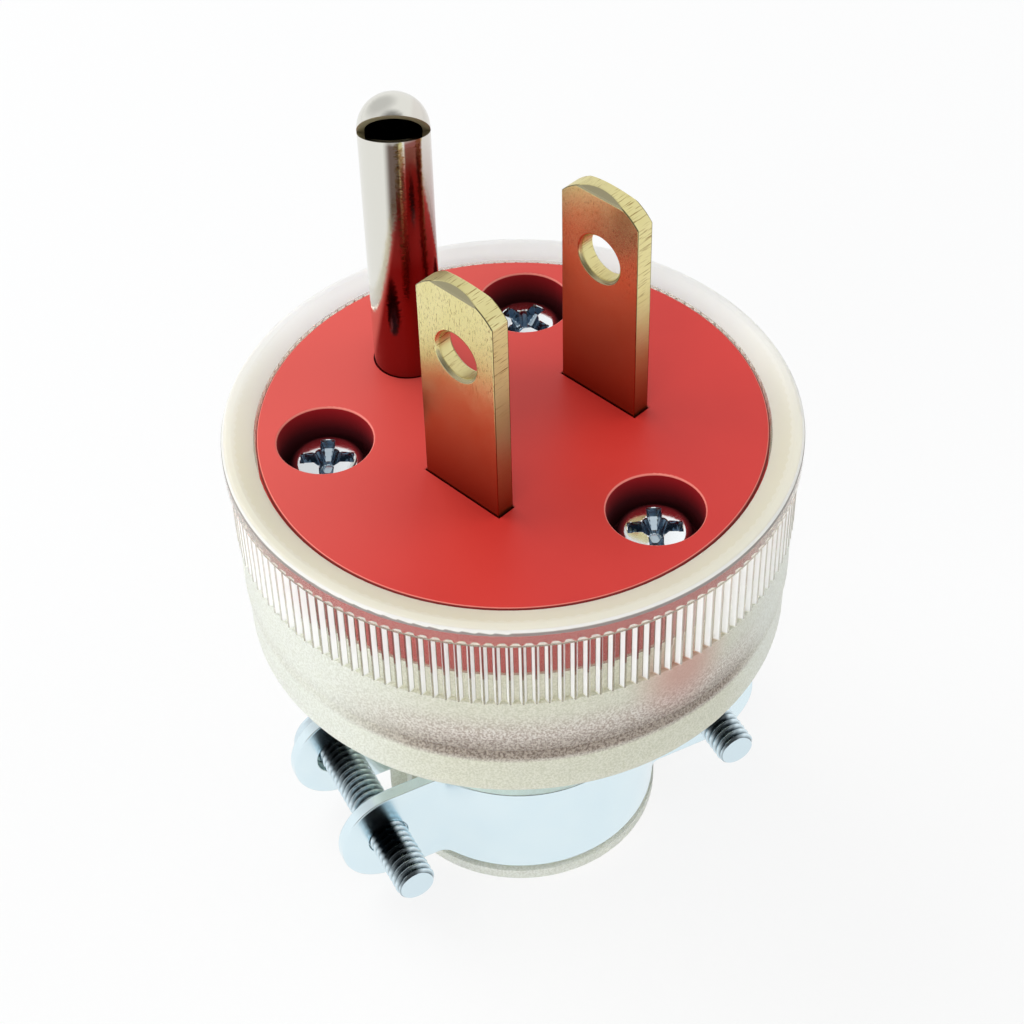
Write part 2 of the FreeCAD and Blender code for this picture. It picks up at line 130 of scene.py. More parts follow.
table = mesh_piece("table", np.column_stack([table_corners, np.full(4, TABLE_Z)]), [(0, 1, 2, 3)], paper)

VIEW_PLACE = Vector((-78.23, -78.05, 100.32)) * MM
VIEW_FORWARD = Vector((0.50394, 0.50458, -0.70103)).normalized()
VIEW_UP = Vector((0.51502, 0.47602, 0.71286)).normalized()
SENSOR = 36.0
FOCAL_PIXELS = 2285.2
IMAGE_PIXELS = 1024
NEAR, FAR = 0.005, 10.0
eye = bpy.data.cameras.new("eye")
eye.sensor_width = SENSOR
eye.lens = SENSOR * FOCAL_PIXELS / IMAGE_PIXELS
eye.clip_start, eye.clip_end = NEAR, FAR
camera = bpy.data.objects.new("eye", eye)
view_right = VIEW_FORWARD.cross(VIEW_UP).normalized()
view_up = view_right.cross(VIEW_FORWARD)
turned = Matrix((view_right, view_up, -VIEW_FORWARD)).transposed().to_4x4()
camera.matrix_world = Matrix.Translation(VIEW_PLACE) @ turned
bpy.context.scene.collection.objects.link(camera)
bpy.context.scene.camera = camera
bpy.context.scene.view_settings.view_transform = "Standard"


# Soft studio light: a large soft box behind and above the plug, one at the left and a weak one at the
# right, and a white tent all round. The tent is dark towards the lens and dimmer high up behind the
# plug, which polished metal shows, and it lights the plug most from low down.

BOX_AIM = Vector((0.0, 0.0, -0.01))
LENS_DARK = 0.15
TENT_GAP = Vector((0.05, 0.71, 0.70)).normalized()
GAP_DIM = 0.7
LOW_LIGHT, HIGH_LIGHT = 0.95, 0.5


def soft_box(name, place, side, power):
    """Square area light that faces the plug. Polished surfaces mirror the tent in front of it instead."""
    light = bpy.data.lights.new(name, "AREA")
    light.shape = "SQUARE"
    light.size = side
    light.energy = power
    lamp = bpy.data.objects.new(name, light)
    lamp.location = place
    lamp.rotation_euler = (BOX_AIM - Vector(place)).to_track_quat("-Z", "Y").to_euler()
    lamp.visible_glossy = False
    bpy.context.scene.collection.objects.link(lamp)


soft_box("box_behind", (-0.08, 0.38, 0.42), 0.45, 1.7)
soft_box("box_left", (-0.50, -0.16, 0.17), 0.40, 1.25)
soft_box("box_right", (0.42, -0.30, 0.38), 0.35, 0.5)

tent = bpy.data.worlds.new("white_tent")
tent.use_nodes = True
tree = tent.node_tree
tree.nodes.clear()
way = add_node(tree, "TexCoord").outputs["Generated"]
toward_lens = add_node(tree, "VectorMath", {0: way, 1: tuple(-VIEW_FORWARD)}, operation="DOT_PRODUCT")
tent_seen = add_node(tree, "MapRange",
                     {"Value": toward_lens, "From Min": 0.55, "From Max": 0.9, "To Min": 1.0,
                      "To Max": LENS_DARK}, interpolation_type="SMOOTHSTEP")
toward_gap = add_node(tree, "VectorMath", {0: way, 1: tuple(TENT_GAP)}, operation="DOT_PRODUCT")
gap_seen = add_node(tree, "MapRange",
                    {"Value": toward_gap, "From Min": 0.7, "From Max": 0.98, "To Min": 1.0,
                     "To Max": GAP_DIM}, interpolation_type="SMOOTHSTEP")
tent_strength = add_node(tree, "Math", {0: tent_seen, 1: gap_seen}, operation="MULTIPLY")
behind = add_node(tree, "Background", {"Strength": tent_strength, "Color": (1.0, 1.0, 1.0, 1.0)})
way_up = add_node(tree, "SeparateXYZ", {0: way}).outputs["Z"]
sides_lit = add_node(tree, "MapRange",
                     {"Value": way_up, "From Min": 0.1, "From Max": 0.7, "To Min": LOW_LIGHT,
                      "To Max": HIGH_LIGHT}, interpolation_type="SMOOTHSTEP")
ambient = add_node(tree, "Background", {"Strength": sides_lit, "Color": (0.95, 0.98, 1.0, 1.0)})
path = add_node(tree, "LightPath")
mirrored = add_node(tree, "Math",
                    {0: path.outputs["Is Glossy Ray"], 1: path.outputs["Is Transmission Ray"]},
                    operation="MAXIMUM")
seen = add_node(tree, "Math", {0: path.outputs["Is Camera Ray"], 1: mirrored}, operation="MAXIMUM")
tent_mix = add_node(tree, "MixShader", {0: seen, 1: ambient, 2: behind})
add_node(tree, "OutputWorld", {"Surface": tent_mix})
bpy.context.scene.world = tent


# Face insert: one thick moulding of red thermoset with three screw wells. Its face came from a finely sparked
# mould, so it is satin with a faint mottle. It is painted paler towards the pin, a painted sheen, and pale
# pink on the rounded lips, a painted highlight. The wells are painted deep red, darker with depth, and the
# outer edge dark red below the face, as painted shade.


def finish_node(name, material):
    """Gives a CAD node its finish."""
    nodes[name].data.materials[0] = material


SPARK_GRAIN = 0.12 * MM
FLOW_MOTTLE = 6.0 * MM
SHEEN_WAY = (-0.3, 0.95, 0.0)
SHEEN_FROM, SHEEN_TO = -6 * MM, 15 * MM
LIP_TOP = -0.005 * MM
LIP_FULL = -0.03 * MM
LIP_LOW = -0.10 * MM
WELL_FLOOR = -1.9 * MM
INSERT_EDGE_R = 16.64 * MM
EDGE_SHADE_Z = -0.35 * MM
red_plastic, tree, out = new_material("red_moulded_insert")
place = add_node(tree, "TexCoord").outputs["Object"]
axes = add_node(tree, "SeparateXYZ", {0: place})
level = add_node(tree, "CombineXYZ", {"X": axes.outputs["X"], "Y": axes.outputs["Y"]})
radius = add_node(tree, "VectorMath", {0: level}, operation="LENGTH")
mottle = add_node(tree, "TexNoise", {"Vector": place, "Scale": 1 / FLOW_MOTTLE, "Detail": 3.0})
fresh_red = add_node(tree, "Mix", {0: mottle, 6: srgb("#CB2C26"), 7: srgb("#D5362F")}, data_type="RGBA")
# Paler towards the pin and the back: a painted sheen of the light from behind.
toward_pin = add_node(tree, "VectorMath", {0: place, 1: SHEEN_WAY}, operation="DOT_PRODUCT")
back_sheen = add_node(tree, "MapRange",
                  {"Value": toward_pin, "From Min": SHEEN_FROM, "From Max": SHEEN_TO, "To Max": 0.85},
                  interpolation_type="SMOOTHSTEP")
red_shade = add_node(tree, "Mix", {0: back_sheen, 6: fresh_red, 7: srgb("#E3574E")}, data_type="RGBA")
# Pale pink on the rounded lips of the wells: a painted highlight.
lip_highlight = add_node(tree, "MapRange",
               {"Value": axes.outputs["Z"], "From Min": LIP_TOP, "From Max": LIP_FULL})
lip_highlight_shade = add_node(tree, "Mix", {0: lip_highlight, 6: red_shade, 7: srgb("#F2877A")}, data_type="RGBA")
# Below the lips the wells are painted dark red, darker towards the floor: painted shade.
sunk = add_node(tree, "MapRange",
                {"Value": axes.outputs["Z"], "From Min": LIP_LOW, "From Max": LIP_LOW - 0.05 * MM})
painted_sunk_shade = add_node(tree, "Mix", {0: sunk, 6: lip_highlight_shade, 7: srgb("#9C0412")}, data_type="RGBA")
deep = add_node(tree, "MapRange",
                {"Value": axes.outputs["Z"], "From Min": LIP_LOW, "From Max": WELL_FLOOR, "To Max": 0.98})
# Round its outer edge the insert is painted dark red below the face, under the shell's rim: painted shade.
on_edge = add_node(tree, "MapRange",
                   {"Value": radius, "From Min": INSERT_EDGE_R, "From Max": INSERT_EDGE_R + 0.04 * MM})
inside_edge = add_node(tree, "MapRange",
                       {"Value": radius, "From Min": INSERT_EDGE_R - 0.6 * MM,
                        "From Max": INSERT_EDGE_R - 0.5 * MM, "To Min": 1.0, "To Max": 0.0})
in_well = add_node(tree, "Math", {0: deep, 1: inside_edge}, operation="MULTIPLY")
painted_well_shade = add_node(tree, "Mix", {0: in_well, 6: painted_sunk_shade, 7: srgb("#4C050E")}, data_type="RGBA")
edge_above = add_node(tree, "MapRange",
                      {"Value": axes.outputs["Z"], "From Min": EDGE_SHADE_Z - 0.05 * MM,
                       "From Max": EDGE_SHADE_Z + 0.05 * MM})
painted_edge_shade = add_node(tree, "Mix", {0: edge_above, 6: srgb("#CB2B26"), 7: srgb("#7A120C")},
                      data_type="RGBA")
insert_shade = add_node(tree, "Mix", {0: on_edge, 6: painted_well_shade, 7: painted_edge_shade}, data_type="RGBA")
spark = add_node(tree, "TexNoise", {"Vector": place, "Scale": 1 / SPARK_GRAIN, "Detail": 2.0})
spark_bump = add_node(tree, "Bump", {"Height": spark, "Strength": 0.12, "Distance": 0.02 * MM})
satin = add_node(tree, "MapRange", {"Value": mottle, "To Min": 0.4, "To Max": 0.48})
dull_well = add_node(tree, "Mix", {0: sunk, 2: satin, 3: 0.85})
red_surface = add_node(tree, "BsdfPrincipled",
                       {"Base Color": insert_shade, "Roughness": dull_well, "Normal": spark_bump,
                        "IOR": 1.5})
tree.links.new(red_surface.outputs[0], out.inputs["Surface"])
finish_node("face_insert", red_plastic)


# Shell: one clear polycarbonate moulding. Its top is satin and cream, painted paler towards the back as
# painted light, near white on its outer land as a painted highlight, and grey at its brink as painted shade.
# The knurl's lands are clear in front, and there the red behind them is painted on the lands and on the lines
# at their roots, a painted refraction. The flanks are painted white, a painted reflection. The wall, from a
# blasted mould, is milky and glitters. Its front is painted darker, and low in front it is painted pinkish
# grey with a dark crease, as painted shade. A pink spot there is painted red light of the insert seen through
# the wall.

BLAST_GRAIN = 0.15 * MM
RIB_COUNT = 146
TEETH_R = 18.12 * MM
TOP_OUT = 18.80 * MM
RIB_ROOT = 18.30 * MM
RIB_CREST = 18.75 * MM
RIM_WALL_Z = -1.0 * MM
KNURL_LOW = -6.6 * MM
SKIRT_LOW = -5.0 * MM
RED_SEEN_LOW = -4.25 * MM
FOOT_TOP = -12.1 * MM
NECK_TOP = -22.0 * MM
CAVITY_R = 15.9 * MM
BRINK_R = 18.955 * MM
TOOTH_DEEP = 0.15 * MM
FRONT_WAY = (0.693396, -0.720280, -0.019983)
BACK_WAY = (0.707, 0.707, 0.0)
BACK_MIDDLE = 4.0 * MM
CLEAR_LEFT, CLEAR_RIGHT = -13.5 * MM, 10.0 * MM
GREY_LEFT, GREY_RIGHT = -8.0 * MM, 15.0 * MM
VEIL_TOP, VEIL_FULL = -7.4 * MM, -9.8 * MM
CREASE_TOP, CREASE_FULL = -9.4 * MM, -11.3 * MM
PINK_SPOT = (-3.7 * MM, -18.2 * MM, -7.2 * MM)
PINK_INNER, PINK_OUTER = 0.5 * MM, 4.5 * MM
clear_plastic, tree, out = new_material("frosted_polycarbonate")
place = add_node(tree, "TexCoord").outputs["Object"]
axes = add_node(tree, "SeparateXYZ", {0: place})
level = add_node(tree, "CombineXYZ", {"X": axes.outputs["X"], "Y": axes.outputs["Y"]})
radius = add_node(tree, "VectorMath", {0: level}, operation="LENGTH")
height = axes.outputs["Z"]
sideways = add_node(tree, "VectorMath", {0: place, 1: FRONT_WAY}, operation="DOT_PRODUCT")
from_left = add_node(tree, "MapRange",
                     {"Value": sideways, "From Min": CLEAR_LEFT - 2 * MM, "From Max": CLEAR_LEFT + 2 * MM},
                     interpolation_type="SMOOTHSTEP")
from_right = add_node(tree, "MapRange",
                      {"Value": sideways, "From Min": CLEAR_RIGHT + 2.5 * MM,
                       "From Max": CLEAR_RIGHT - 2.5 * MM}, interpolation_type="SMOOTHSTEP")
clear_part = add_node(tree, "Math", {0: from_left, 1: from_right}, operation="MULTIPLY")
# The wall's front is painted darker and yellower: painted shade.
wall_left = add_node(tree, "MapRange",
                     {"Value": sideways, "From Min": GREY_LEFT - 5 * MM, "From Max": GREY_LEFT + 5 * MM},
                     interpolation_type="SMOOTHSTEP")
wall_right = add_node(tree, "MapRange",
                      {"Value": sideways, "From Min": GREY_RIGHT + 2 * MM,
                       "From Max": GREY_RIGHT - 2 * MM}, interpolation_type="SMOOTHSTEP")
wall_side = add_node(tree, "Math", {0: wall_left, 1: wall_right}, operation="MULTIPLY")
above_neck = add_node(tree, "MapRange",
                      {"Value": height, "From Min": NECK_TOP - 2 * MM, "From Max": NECK_TOP + 2 * MM})
shaded_front = add_node(tree, "Math", {0: wall_side, 1: above_neck}, operation="MULTIPLY")
backward = add_node(tree, "VectorMath", {0: place, 1: BACK_WAY}, operation="DOT_PRODUCT")
at_back = add_node(tree, "MapRange",
                   {"Value": backward, "From Min": BACK_MIDDLE - 10 * MM,
                    "From Max": BACK_MIDDLE + 10 * MM}, interpolation_type="SMOOTHSTEP")

blast = add_node(tree, "TexNoise",
                 {"Vector": place, "Scale": 1 / BLAST_GRAIN, "Detail": 3.0, "Roughness": 0.65})
sparkle = add_node(tree, "MapRange", {"Value": blast, "From Min": 0.4, "From Max": 0.6})
side_grain = add_node(tree, "Mix", {0: sparkle, 6: srgb("#E0E2D6"), 7: srgb("#F8FBF3")}, data_type="RGBA")
shaded_front_grain = add_node(tree, "Mix", {0: sparkle, 6: srgb("#D3D3BF"), 7: srgb("#EBEADB")}, data_type="RGBA")
wall_shade = add_node(tree, "Mix", {0: shaded_front, 6: side_grain, 7: shaded_front_grain}, data_type="RGBA")
# Low on the front, above the foot, the wall is painted pinkish grey: painted shade.
veil_low = add_node(tree, "MapRange",
                    {"Value": height, "From Min": VEIL_TOP, "From Max": VEIL_FULL, "To Max": 0.8},
                    interpolation_type="SMOOTHSTEP")
above_foot = add_node(tree, "MapRange",
                      {"Value": height, "From Min": FOOT_TOP - 0.4 * MM, "From Max": FOOT_TOP + 0.1 * MM})
veil_band = add_node(tree, "Math", {0: veil_low, 1: above_foot}, operation="MULTIPLY")
veil = add_node(tree, "Math", {0: veil_band, 1: shaded_front}, operation="MULTIPLY")
painted_veil_grain = add_node(tree, "Mix", {0: sparkle, 6: srgb("#A89086"), 7: srgb("#F4EEE8")}, data_type="RGBA")
veiled_shade = add_node(tree, "Mix", {0: veil, 6: wall_shade, 7: painted_veil_grain}, data_type="RGBA")
# Darker brown in the crease above the foot, most in front: painted shade.
crease_fade = add_node(tree, "MapRange",
                       {"Value": height, "From Min": CREASE_TOP, "From Max": CREASE_FULL},
                       interpolation_type="SMOOTHSTEP")
# A pink spot low in front: painted red light of the insert seen through the wall.
red_showing = add_node(tree, "VectorMath", {0: place, 1: PINK_SPOT}, operation="DISTANCE")
crease_part = add_node(tree, "MapRange", {"Value": shaded_front, "To Min": 0.15})
front_crease = add_node(tree, "Math", {0: crease_fade, 1: crease_part}, operation="MULTIPLY")
in_crease = add_node(tree, "Math", {0: front_crease, 1: above_foot}, operation="MULTIPLY")
painted_crease_shadow = add_node(tree, "Mix", {0: sparkle, 6: srgb("#6F5E57"), 7: srgb("#BDB0A5")}, data_type="RGBA")
crease_shade = add_node(tree, "Mix", {0: in_crease, 6: veiled_shade, 7: painted_crease_shadow}, data_type="RGBA")
red_share = add_node(tree, "MapRange",
                     {"Value": red_showing, "From Min": PINK_INNER, "From Max": PINK_OUTER, "To Min": 0.7,
                      "To Max": 0.0}, interpolation_type="SMOOTHSTEP")
painted_red_glow = add_node(tree, "Mix", {0: red_share, 6: crease_shade, 7: srgb("#CE8C80")}, data_type="RGBA")

rib_edge = add_node(tree, "MapRange",
                    {"Value": radius, "From Min": RIB_ROOT + 0.01 * MM, "From Max": RIB_ROOT + 0.03 * MM})
rib_low = add_node(tree, "MapRange",
                   {"Value": radius, "From Min": RIB_ROOT + 0.04 * MM, "From Max": RIB_ROOT + 0.08 * MM})
rib_high = add_node(tree, "MapRange",
                    {"Value": radius, "From Min": RIB_CREST - 0.07 * MM, "From Max": RIB_CREST - 0.04 * MM,
                     "To Min": 1.0, "To Max": 0.0})
flank = add_node(tree, "Math", {0: rib_low, 1: rib_high}, operation="MULTIPLY")
# In front the lands are painted pink and their root lines maroon, a painted refraction of the red insert;
# elsewhere the root lines are painted darker cream, as painted shade.
over_red = add_node(tree, "MapRange",
                    {"Value": height, "From Min": RED_SEEN_LOW - 0.1 * MM,
                     "From Max": RED_SEEN_LOW + 0.1 * MM})
red_painted_front = add_node(tree, "Math", {0: over_red, 1: clear_part}, operation="MULTIPLY")
painted_red_land_tint = add_node(tree, "Mix", {0: red_painted_front, 6: srgb("#F4F1E6"), 7: srgb("#E9AFA6")},
                     data_type="RGBA")
painted_root_line_tint = add_node(tree, "Mix", {0: red_painted_front, 6: srgb("#DCD7C9"), 7: srgb("#7C4438")},
                     data_type="RGBA")
line_shade = add_node(tree, "Mix", {0: rib_edge, 6: painted_red_land_tint, 7: painted_root_line_tint}, data_type="RGBA")
# The flanks are painted pure white: a painted reflection of the white tent.
rib_shade = add_node(tree, "Mix", {0: flank, 6: line_shade, 7: srgb("#FFFFFF")}, data_type="RGBA")

above_wall = add_node(tree, "MapRange",
                      {"Value": height, "From Min": KNURL_LOW + 0.05 * MM,
                       "From Max": KNURL_LOW + 0.15 * MM})
below_rim = add_node(tree, "MapRange",
                     {"Value": height, "From Min": RIM_WALL_Z, "From Max": RIM_WALL_Z + 0.02 * MM,
                      "To Min": 1.0, "To Max": 0.0})
outside = add_node(tree, "MapRange",
                   {"Value": radius, "From Min": RIB_ROOT - 0.4 * MM, "From Max": RIB_ROOT - 0.3 * MM})
below_skirt = add_node(tree, "MapRange",
                       {"Value": height, "From Min": SKIRT_LOW - 0.1 * MM, "From Max": SKIRT_LOW,
                        "To Min": 1.0, "To Max": 0.0})
in_cavity = add_node(tree, "MapRange",
                     {"Value": radius, "From Min": CAVITY_R + 0.3 * MM, "From Max": CAVITY_R + 0.4 * MM,
                      "To Min": 1.0, "To Max": 0.0})
frosted_inside = add_node(tree, "Math", {0: below_skirt, 1: in_cavity}, operation="MULTIPLY")
on_wall = add_node(tree, "Math", {0: 1.0, 1: above_wall}, operation="SUBTRACT", use_clamp=True)
on_land = add_node(tree, "MapRange",
                   {"Value": radius, "From Min": RIB_ROOT, "From Max": RIB_ROOT + 0.03 * MM, "To Min": 1.0,
                    "To Max": 0.0})
low_land = add_node(tree, "Math", {0: over_red, 1: -1.0, 2: on_land}, operation="MULTIPLY_ADD",
                    use_clamp=True)
low_outside = add_node(tree, "Math", {0: low_land, 1: outside}, operation="MULTIPLY")
smooth_skin = add_node(tree, "Math", {0: frosted_inside, 1: low_outside}, operation="MAXIMUM")
frosted = add_node(tree, "Math", {0: smooth_skin, 1: on_wall}, operation="MAXIMUM")
knurl_band = add_node(tree, "Math", {0: below_rim, 1: outside}, operation="MULTIPLY")

around = add_node(tree, "Math", {0: axes.outputs["Y"], 1: axes.outputs["X"]}, operation="ARCTAN2")
rib_phase = add_node(tree, "Math", {0: around, 1: RIB_COUNT / (2 * math.pi)}, operation="MULTIPLY")
rib_turn = add_node(tree, "Math", {0: rib_phase}, operation="FRACT")
rib_half = add_node(tree, "Math", {0: rib_turn, 1: 0.5}, operation="SUBTRACT")
rib_tooth = add_node(tree, "Math", {0: rib_half}, operation="ABSOLUTE")
toothed_r = add_node(tree, "Math", {0: rib_tooth, 1: 2 * TOOTH_DEEP, 2: radius},
                     operation="MULTIPLY_ADD")
inner_top = add_node(tree, "MapRange",
                     {"Value": toothed_r, "From Min": TEETH_R, "From Max": TEETH_R + 0.05 * MM,
                      "To Min": 1.0, "To Max": 0.0})
raised = add_node(tree, "MapRange", {"Value": height, "From Min": -0.02 * MM, "From Max": 0.0})
land_in = add_node(tree, "MapRange",
                   {"Value": radius, "From Min": TOP_OUT, "From Max": TOP_OUT + 0.04 * MM, "To Min": 1.0,
                    "To Max": 0.0})
on_top = add_node(tree, "Math", {0: land_in, 1: raised}, operation="MULTIPLY")
outer_top = add_node(tree, "Math", {0: raised, 1: land_in}, operation="SUBTRACT", use_clamp=True)
brink = add_node(tree, "MapRange",
                 {"Value": radius, "From Min": BRINK_R - 0.015 * MM, "From Max": BRINK_R + 0.015 * MM})
painted_brink_line = add_node(tree, "Math", {0: brink, 1: raised}, operation="MULTIPLY")

rim_shade = add_node(tree, "Mix", {0: knurl_band, 6: srgb("#F6F1EA"), 7: rib_shade}, data_type="RGBA")
body_shade = add_node(tree, "Mix", {0: frosted, 6: rim_shade, 7: painted_red_glow}, data_type="RGBA")
cream = add_node(tree, "Mix", {0: inner_top, 6: srgb("#F2EDDB"), 7: srgb("#EDE7D1")}, data_type="RGBA")
# The top is painted paler towards the back: painted light from behind.
back_lit_cream = add_node(tree, "Mix", {0: at_back, 6: cream, 7: srgb("#FCFBF7")}, data_type="RGBA")
top_shade = add_node(tree, "Mix", {0: on_top, 6: body_shade, 7: back_lit_cream}, data_type="RGBA")
# The outer land of the top is painted near white: a painted highlight.
highlit_land_shade = add_node(tree, "Mix", {0: outer_top, 6: top_shade, 7: srgb("#FBF9F1")}, data_type="RGBA")
# A grey line at the brink of the rim: painted shade.
shell_shade = add_node(tree, "Mix", {0: painted_brink_line, 6: highlit_land_shade, 7: srgb("#8F8985")}, data_type="RGBA")

land_share = add_node(tree, "MapRange", {"Value": clear_part, "To Min": 0.45, "To Max": 0.96})
rib_share = add_node(tree, "Mix", {0: flank, 2: land_share, 3: 0.1})
rim_share = add_node(tree, "Mix", {0: knurl_band, 2: 0.93, 3: rib_share})
body_share = add_node(tree, "Mix", {0: frosted, 2: rim_share, 3: 0.28})
top_share = add_node(tree, "Mix", {0: on_top, 2: body_share, 3: 0.2})
shell_share = add_node(tree, "Mix", {0: outer_top, 2: top_share, 3: 0.2})

satin_zone = add_node(tree, "Math", {0: frosted, 1: raised}, operation="MAXIMUM")
haze = add_node(tree, "MapRange", {"Value": satin_zone, "To Min": 0.07, "To Max": 0.46})
grain_depth = add_node(tree, "MapRange", {"Value": frosted, "To Min": 0.04, "To Max": 0.55})
blast_bump = add_node(tree, "Bump", {"Height": blast, "Strength": grain_depth, "Distance": 0.06 * MM})
shell_surface = add_node(tree, "BsdfPrincipled",
                         {"Base Color": shell_shade, "Roughness": haze, "Normal": blast_bump,
                          "Transmission Weight": shell_share, "IOR": 1.52, "Subsurface Weight": 0.5,
                          "Subsurface Scale": 1.6 * MM, "Subsurface Radius": (1.0, 1.0, 0.9)},
                         subsurface_method="RANDOM_WALK")
lets_light_in = add_node(tree, "BsdfTransparent", {"Color": srgb("#F0EDE2")})
shadow_ray = add_node(tree, "LightPath").outputs["Is Shadow Ray"]
lit_through = add_node(tree, "MixShader", {0: shadow_ray, 1: shell_surface, 2: lets_light_in})
tree.links.new(lit_through.outputs[0], out.inputs["Surface"])
finish_node("shell", clear_plastic)


# Blades: flat pins blanked from hard brass strip, punched and coined thinner at the tip. The faces keep the
# strip's rolling grain and are scuffed near the tip. Towards the insert they are painted darker and redder, a
# painted reflection of the red face, and the coined facets are painted greyer, a painted reflection. The
# sheared edges show faint crossways lines from the tool, and a dark line is painted along the rounded edges
# of the faces.

SHARP_CORNER = 16.0
FLAT_WITHIN = 0.4
MERGE_WITHIN = 0.0001 * MM


def whole_form(node):
    """Editable copy of a CAD node's mesh with its doubles merged."""
    form = bmesh.new()
    form.from_mesh(nodes[node].data)
    bmesh.ops.remove_doubles(form, verts=form.verts, dist=MERGE_WITHIN)
    return form


def shade_smooth(mesh, sharp):
    """Smooth shading, but for the edges that turn by more than this angle in degrees."""
    mesh.polygons.foreach_set("use_smooth", np.ones(len(mesh.polygons), bool))
    mesh.set_sharp_from_angle(angle=math.radians(sharp))


def softened(name, form, width, material):
    """Object from a form: each flat part becomes one face, and corners are rounded by this width."""
    bmesh.ops.dissolve_limit(form, angle_limit=math.radians(FLAT_WITHIN), verts=form.verts, edges=form.edges)
    mesh = bpy.data.meshes.new(name)
    form.to_mesh(mesh)
    form.free()
    for stored in ("custom_normal", "sharp_edge", "sharp_face"):
        if stored in mesh.attributes:
            mesh.attributes.remove(mesh.attributes[stored])
    mesh.materials.clear()
    mesh.materials.append(material)
    shade_smooth(mesh, SHARP_CORNER)
    piece = bpy.data.objects.new(name, mesh)
    bpy.context.scene.collection.objects.link(piece)
    corners = piece.modifiers.new("corners", "BEVEL")
    corners.width = width
    corners.segments = 2
    corners.limit_method = "ANGLE"
    corners.angle_limit = math.radians(SHARP_CORNER)
    corners.harden_normals = True
    return piece


def stand_in(piece, node):
    """Hangs a new piece on the body in place of a CAD node."""
    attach(piece, "root")
    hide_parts(node)


ROLL_GRAIN = 0.07 * MM
SHEAR_LINES = 0.09 * MM
HANDLING_CLOUD = 1.6 * MM
BLADE_X = 6.35 * MM
BLADE_HALF = 0.675 * MM
BLADE_ROUND = 0.06 * MM
SCUFFED_FROM, SCUFFED_TO = 8.0 * MM, 11.0 * MM
REFLECTED_RED_FROM, REFLECTED_RED_TO = 10.5 * MM, 0.5 * MM
brass, tree, out = new_material("rolled_brass")
place = add_node(tree, "TexCoord").outputs["Object"]
axes = add_node(tree, "SeparateXYZ", {0: place})
from_middle = add_node(tree, "Math", {0: axes.outputs["X"]}, operation="ABSOLUTE")
in_strip = add_node(tree, "Math", {0: from_middle, 1: BLADE_X}, operation="SUBTRACT")
across_strip = add_node(tree, "Math", {0: in_strip}, operation="ABSOLUTE")
on_face = add_node(tree, "MapRange",
                   {"Value": across_strip, "From Min": BLADE_HALF - 0.1 * MM,
                    "From Max": BLADE_HALF - 0.04 * MM})
rolled = add_node(tree, "Mapping", {"Vector": place, "Scale": (1.0, 1.0, 0.22)})
roll = add_node(tree, "TexNoise",
                {"Vector": rolled, "Scale": 1 / ROLL_GRAIN, "Detail": 3.0, "Roughness": 0.6})
sheared = add_node(tree, "Mapping", {"Vector": place, "Scale": (0.06, 1.0, 1.0)})
shear = add_node(tree, "TexNoise",
                 {"Vector": sheared, "Scale": 1 / SHEAR_LINES, "Detail": 2.0, "Roughness": 0.6})
brass_grain = add_node(tree, "Mix", {0: on_face, 2: shear, 3: roll})
handling = add_node(tree, "TexNoise", {"Vector": place, "Scale": 1 / HANDLING_CLOUD, "Detail": 4.0})
brass_shade = add_node(tree, "Mix", {0: handling, 6: srgb("#E0D592"), 7: srgb("#EDE4AE")}, data_type="RGBA")
scored = add_node(tree, "MapRange",
                  {"Value": brass_grain, "From Min": 0.44, "From Max": 0.31, "To Max": 0.85})
scuffed_end = add_node(tree, "MapRange",
                       {"Value": axes.outputs["Z"], "From Min": SCUFFED_FROM, "From Max": SCUFFED_TO,
                        "To Min": 0.15})
scored_share = add_node(tree, "Math", {0: scored, 1: scuffed_end}, operation="MULTIPLY")
scored_shade = add_node(tree, "Mix", {0: scored_share, 6: brass_shade, 7: srgb("#8C6C34")},
                        data_type="RGBA")
skin = add_node(tree, "SeparateXYZ", {0: add_node(tree, "NewGeometry").outputs["Normal"]})
skin_across = add_node(tree, "Math", {0: skin.outputs["X"]}, operation="ABSOLUTE")
faces_across = add_node(tree, "MapRange", {"Value": skin_across, "From Min": 0.6, "From Max": 0.75})
tips_up = add_node(tree, "MapRange", {"Value": skin.outputs["Z"], "From Min": 0.12, "From Max": 0.22})
coined = add_node(tree, "Math", {0: faces_across, 1: tips_up}, operation="MULTIPLY")
# The coined facets are painted greyer: a painted reflection.
facet_reflection_shade = add_node(tree, "Mix", {0: coined, 6: scored_shade, 7: srgb("#A39C7E")}, data_type="RGBA")
# A dark line painted along the rounded edges of the faces.
dark_edge_line = add_node(tree, "Math", {0: on_face, 1: faces_across}, operation="SUBTRACT", use_clamp=True)
dark_edge_shade = add_node(tree, "Mix", {0: dark_edge_line, 6: facet_reflection_shade, 7: srgb("#4E3A1C")}, data_type="RGBA")
# Darker and redder towards the insert: a painted reflection of the red face.
red_reflection_share = add_node(tree, "MapRange",
                    {"Value": axes.outputs["Z"], "From Min": REFLECTED_RED_FROM, "From Max": REFLECTED_RED_TO,
                     "To Max": 0.95})
red_reflection_shade = add_node(tree, "Mix", {0: red_reflection_share, 6: dark_edge_shade, 7: srgb("#8A3E18")}, data_type="RGBA")
brass_haze = add_node(tree, "MapRange",
                      {"Value": handling, "From Min": 0.3, "From Max": 0.7, "To Min": 0.2, "To Max": 0.26})
sheared_haze = add_node(tree, "Mix", {0: on_face, 2: 0.42, 3: brass_haze})
roll_bump = add_node(tree, "Bump", {"Height": brass_grain, "Strength": 0.2, "Distance": 0.01 * MM})
brass_surface = add_node(tree, "BsdfPrincipled",
                         {"Base Color": red_reflection_shade, "Roughness": sheared_haze, "Normal": roll_bump,
                          "Metallic": 1.0})
